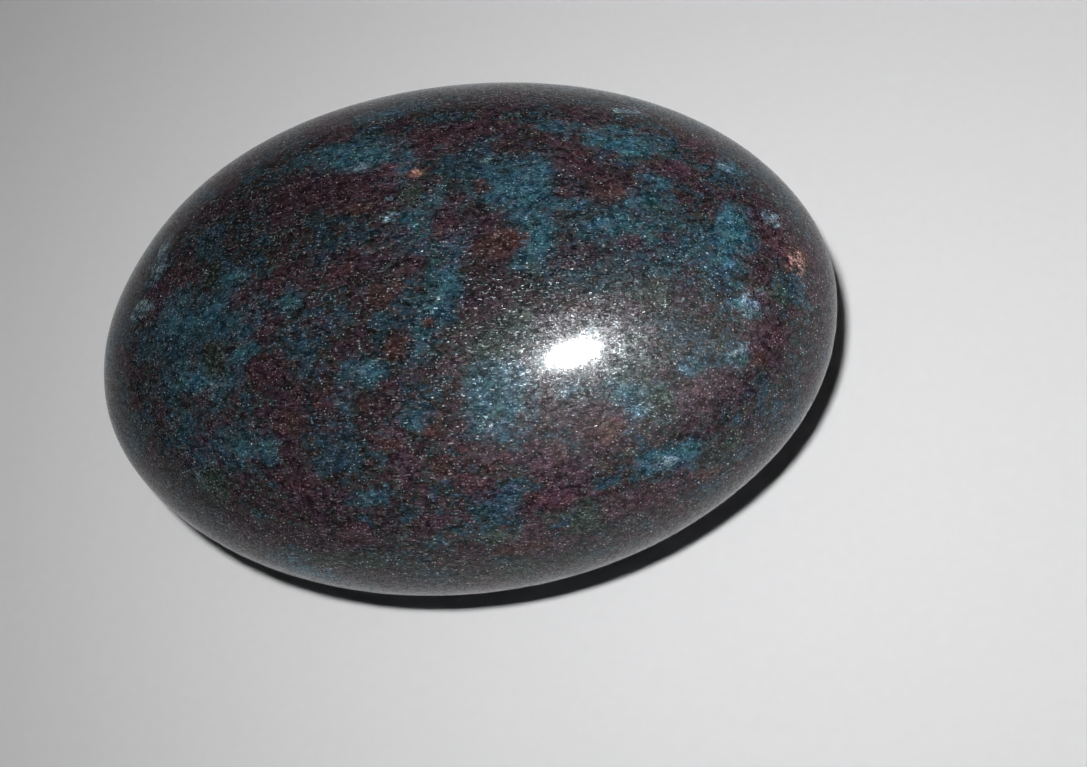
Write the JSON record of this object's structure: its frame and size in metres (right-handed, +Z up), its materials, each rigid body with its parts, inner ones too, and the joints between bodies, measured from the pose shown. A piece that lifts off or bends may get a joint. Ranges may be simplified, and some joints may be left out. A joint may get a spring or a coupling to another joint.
{
  "type": "palm stone",
  "caption": "Polished oval pebble of dark ruby-bearing kyanite rock, rounded on all sides to fit the palm of a hand, resting on a small flat foot.",
  "frame": {"origin": "middle of the flat foot on the underside, in the plane the stone rests on", "axes": "+X along the length of the stone, +Y across its width, +Z up from the foot"},
  "size_m": [0.068, 0.048, 0.0334],
  "materials": {
    "polished_rock": "hand polished, glossy with a fine grain, mottled charcoal, teal and maroon with pale flecks"
  },
  "bodies": {
    "root": {"stone": "polished_rock"}
  },
  "joints": []
}
